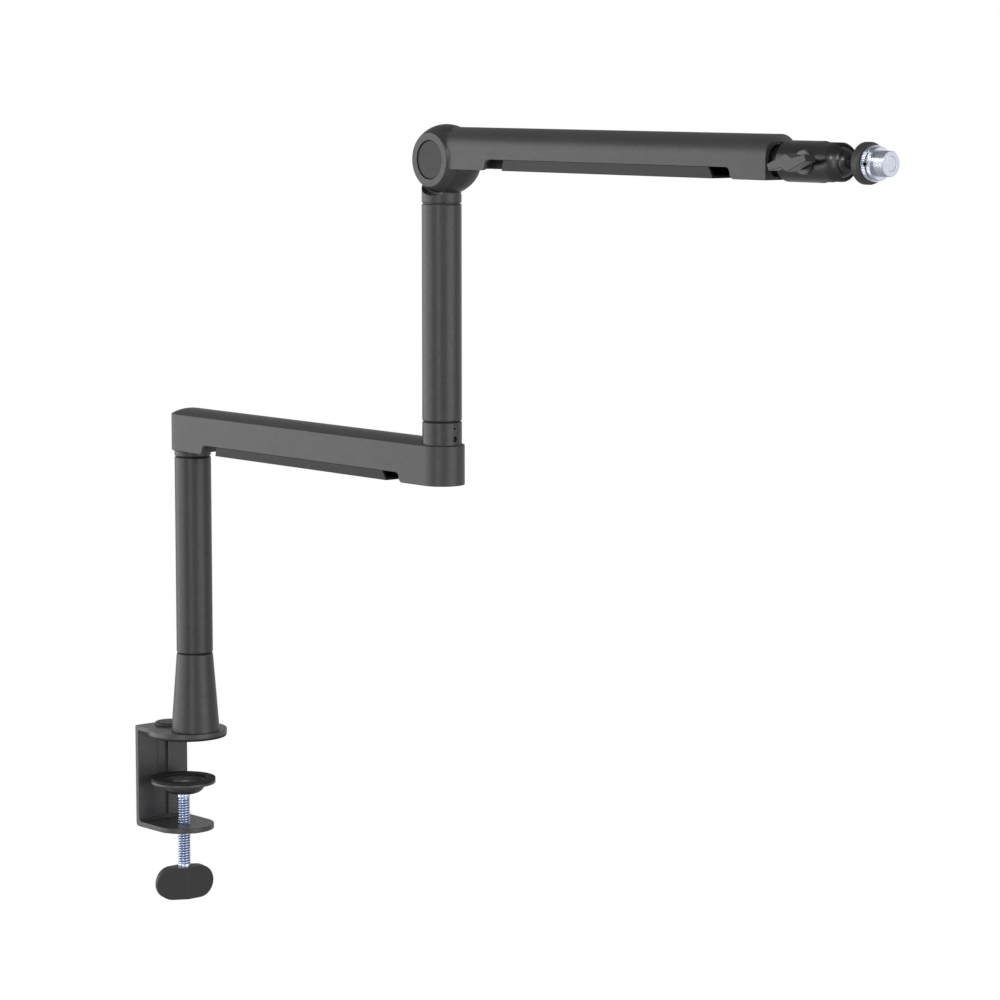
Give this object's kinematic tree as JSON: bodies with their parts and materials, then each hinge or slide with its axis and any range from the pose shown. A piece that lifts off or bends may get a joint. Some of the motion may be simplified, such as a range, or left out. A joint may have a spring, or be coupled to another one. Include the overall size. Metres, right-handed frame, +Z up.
{
  "type": "microphone boom arm",
  "caption": "Low-profile desk-clamp microphone boom arm: two risers, two channel arms with snap-in cable covers, a tilting elbow and a lever-locked ball head with a microphone thread",
  "frame": {"origin": "on the underside of the top jaw's pad, where it rests on the desk, on the axis of the lower riser", "axes": "+Z up, +X along the arms towards the microphone, the elbow's tilt pin lies along Y"},
  "size_m": [0.7749, 0.0612, 0.6065],
  "materials": {
    "powder_coat": "fine-textured satin black powder coat",
    "powder_coat_steel": "satin black powder coat on steel",
    "black_plastic": "fine-textured moulded plastic",
    "bush_nylon": "turned nylon",
    "rubber": "matte rubber",
    "zinc_steel": "bright zinc plate on turned steel"
  },
  "bodies": {
    "base": {"clamp_bracket": "powder_coat_steel", "top_jaw_pad": "rubber", "plate_plug": "black_plastic", "cone_base": "powder_coat", "cone_bolt": "zinc_steel", "base_bush": "bush_nylon"},
    "cup": {"pressure_cup": "powder_coat_steel", "pressure_pad": "rubber"},
    "screw": {"clamp_screw": "zinc_steel", "screw_retainer": "zinc_steel", "clamp_knob": "black_plastic"},
    "lower_post": {"lower_riser": "powder_coat", "lower_riser_spindle": "zinc_steel", "lower_riser_socket": "zinc_steel", "shoulder_bush": "bush_nylon"},
    "lower_boom": {"lower_arm": "powder_coat", "lower_cable_cover": "black_plastic", "shoulder_collar": "powder_coat", "shoulder_bolt": "zinc_steel", "mid_collar": "powder_coat", "mid_bush": "bush_nylon", "collar_screws": "powder_coat_steel"},
    "upper_post": {"upper_riser": "powder_coat", "upper_riser_spindle": "zinc_steel", "elbow_knuckle": "powder_coat", "elbow_bush": "bush_nylon", "friction_washers": "rubber", "disc_springs": "zinc_steel"},
    "upper_boom": {"upper_arm": "powder_coat", "upper_cable_cover": "black_plastic", "elbow_bolt": "zinc_steel", "elbow_locknut": "zinc_steel", "elbow_caps": "powder_coat", "end_ring": "powder_coat_steel"},
    "head": {"head_neck": "black_plastic", "neck_screw": "zinc_steel", "near_jaw": "black_plastic", "far_jaw": "black_plastic", "jaw_pin": "zinc_steel", "jaw_washer": "powder_coat_steel", "jaw_nut": "zinc_steel"},
    "lever": {"clamp_lever": "black_plastic", "lever_bolt": "zinc_steel"},
    "ball": {"ball_stem": "black_plastic", "stem_flange": "rubber", "thread_stud": "zinc_steel", "thread_adapter": "zinc_steel"}
  },
  "joints": [
    {"name": "base_swivel", "type": "hinge", "parent": "base", "child": "lower_post", "pos_m": [0, 0, 0.0664], "axis": [0, 0, 1], "continuous": true},
    {"name": "shoulder_swivel", "type": "hinge", "parent": "lower_post", "child": "lower_boom", "pos_m": [0, 0, 0.2188], "axis": [0, 0, 1], "continuous": true},
    {"name": "mid_swivel", "type": "hinge", "parent": "lower_boom", "child": "upper_post", "pos_m": [0.3, 0, 0.2687], "axis": [0, 0, 1], "continuous": true},
    {"name": "elbow_tilt", "type": "hinge", "parent": "upper_post", "child": "upper_boom", "pos_m": [0.3057, 0, 0.452], "axis": [0, -1, 0], "range_deg": [-50, 90]},
    {"name": "head_roll", "type": "hinge", "parent": "upper_boom", "child": "head", "pos_m": [0.6335, 0, 0.4579], "axis": [1, 0, 0], "continuous": true},
    {"name": "lever_turn", "type": "hinge", "parent": "head", "child": "lever", "pos_m": [0.666, -0.0145, 0.4579], "axis": [0, -1, 0], "continuous": true},
    {"name": "ball_tilt", "type": "hinge", "parent": "head", "child": "ball", "pos_m": [0.686, 0, 0.4579], "axis": [0, -1, 0], "range_deg": [-25, 25]},
    {"name": "cup_slide", "type": "slide", "parent": "base", "child": "cup", "axis": [0, 0, 1], "range_m": [-0.022, 0.029]},
    {"name": "screw_turn", "type": "hinge", "parent": "cup", "child": "screw", "pos_m": [-0.017, 0, -0.06], "axis": [0, 0, 1], "continuous": true}
  ],
  "couplings": [
    {"joint": "screw_turn", "follows": "cup_slide", "rad_per_m": 4188.8}
  ]
}
